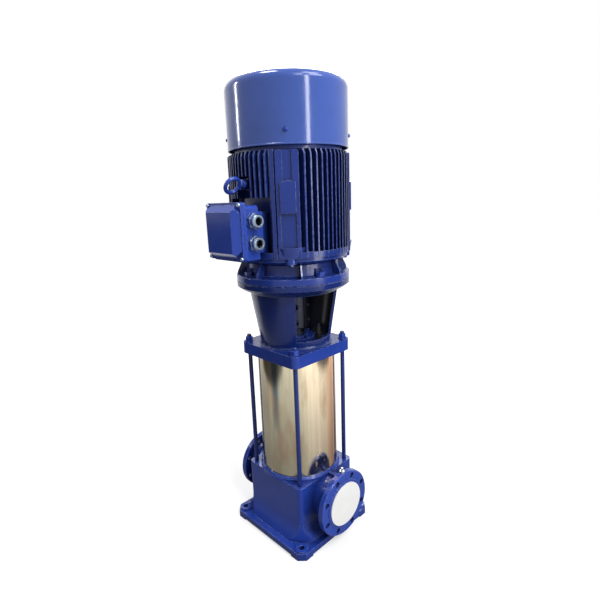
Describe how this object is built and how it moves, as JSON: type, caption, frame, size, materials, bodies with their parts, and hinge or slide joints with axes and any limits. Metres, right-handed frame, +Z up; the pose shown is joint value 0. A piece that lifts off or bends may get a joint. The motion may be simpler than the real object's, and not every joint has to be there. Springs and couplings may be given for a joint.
{
  "type": "vertical inline multistage pump",
  "caption": "Vertical in-line multistage centrifugal pump: flanged base, steel barrel with tie rods, lantern stool, shell coupling and finned motor with terminal box.",
  "frame": {"origin": "centre of the base plate's footprint, on the plane of its feet", "axes": "+Z up along the pump shaft, +X towards the outlet flange, -Y towards the terminal box"},
  "size_m": [0.41, 0.4433, 1.419],
  "materials": {
    "blue_paint": "gloss machinery enamel",
    "blue_cowl": "gloss machinery enamel on pressed sheet",
    "stainless": "polished stainless steel",
    "steel": "machined steel",
    "cast_iron": "as cast",
    "black_rubber": "matte",
    "bronze": "machined",
    "copper": "varnished copper windings",
    "lamination": "stacked electrical steel",
    "aluminium": "die cast",
    "black_plastic": "matte",
    "white_plastic": "smooth moulded"
  },
  "bodies": {
    "pump_body": {"base_casting": "blue_paint", "outlet_flange": "blue_paint", "inlet_flange": "blue_paint", "gauge_plug": "steel", "barrel": "stainless", "barrel_gaskets": "black_rubber", "drain_plug": "steel", "tie_rods": "blue_paint", "tie_washers": "blue_paint", "tie_nuts": "blue_paint", "motor_stool": "blue_paint", "pump_head": "blue_paint", "seal_gland": "steel", "seal_gland_bolts": "steel", "vent_plug": "black_plastic", "intake_bowl": "cast_iron", "stage_chambers": "cast_iron", "guide_vanes": "cast_iron", "lower_bearing": "bronze", "motor_frame": "blue_paint", "drive_shield": "blue_paint", "fan_shield": "blue_paint", "joint_bolts": "blue_paint", "shield_bolts": "blue_paint", "stator_core": "lamination", "stator_windings": "copper", "drive_bearing_outer": "steel", "fan_bearing_outer": "steel", "fan_cowl": "blue_cowl", "cowl_screws": "blue_cowl", "terminal_box": "blue_paint", "terminal_gasket": "black_rubber", "terminal_lid": "blue_paint", "lid_screws": "steel", "terminal_block": "black_plastic", "gland_bodies": "blue_paint", "gland_nuts": "blue_paint", "eye_bolt": "blue_paint"},
    "rotor": {"pump_shaft": "steel", "impellers": "stainless", "shaft_sleeves": "stainless", "shaft_nut": "steel", "seal_head": "steel", "coupling_half_a": "cast_iron", "coupling_half_b": "cast_iron", "coupling_bolts": "steel", "motor_shaft": "steel", "rotor_core": "lamination", "rotor_rings": "aluminium", "drive_bearing_inner": "steel", "fan_bearing_inner": "steel", "cooling_fan": "black_plastic"},
    "bearing_cages": {"bearing_balls": "steel"},
    "vent_screw": {"vent_screw": "steel"},
    "outlet_cover": {"outlet_cover": "white_plastic"},
    "inlet_cover": {"inlet_cover": "white_plastic"}
  },
  "joints": [
    {"name": "rotor_spin", "type": "hinge", "parent": "pump_body", "child": "rotor", "pos_m": [0, 0, 0.45], "axis": [0, 0, 1], "continuous": true},
    {"name": "cage_spin", "type": "hinge", "parent": "pump_body", "child": "bearing_cages", "pos_m": [0, 0, 0.879], "axis": [0, 0, 1], "continuous": true},
    {"name": "vent_turn", "type": "hinge", "parent": "pump_body", "child": "vent_screw", "pos_m": [0.038, 0.067, 0.68], "axis": [0, 0, 1], "range_deg": [0, 360]},
    {"name": "outlet_cover_off", "type": "slide", "parent": "pump_body", "child": "outlet_cover", "axis": [1, 0, 0], "range_m": [0, 0.15]},
    {"name": "inlet_cover_off", "type": "slide", "parent": "pump_body", "child": "inlet_cover", "axis": [-1, 0, 0], "range_m": [0, 0.15]}
  ],
  "couplings": [
    {"joint": "cage_spin", "follows": "rotor_spin", "ratio": 0.4138}
  ]
}
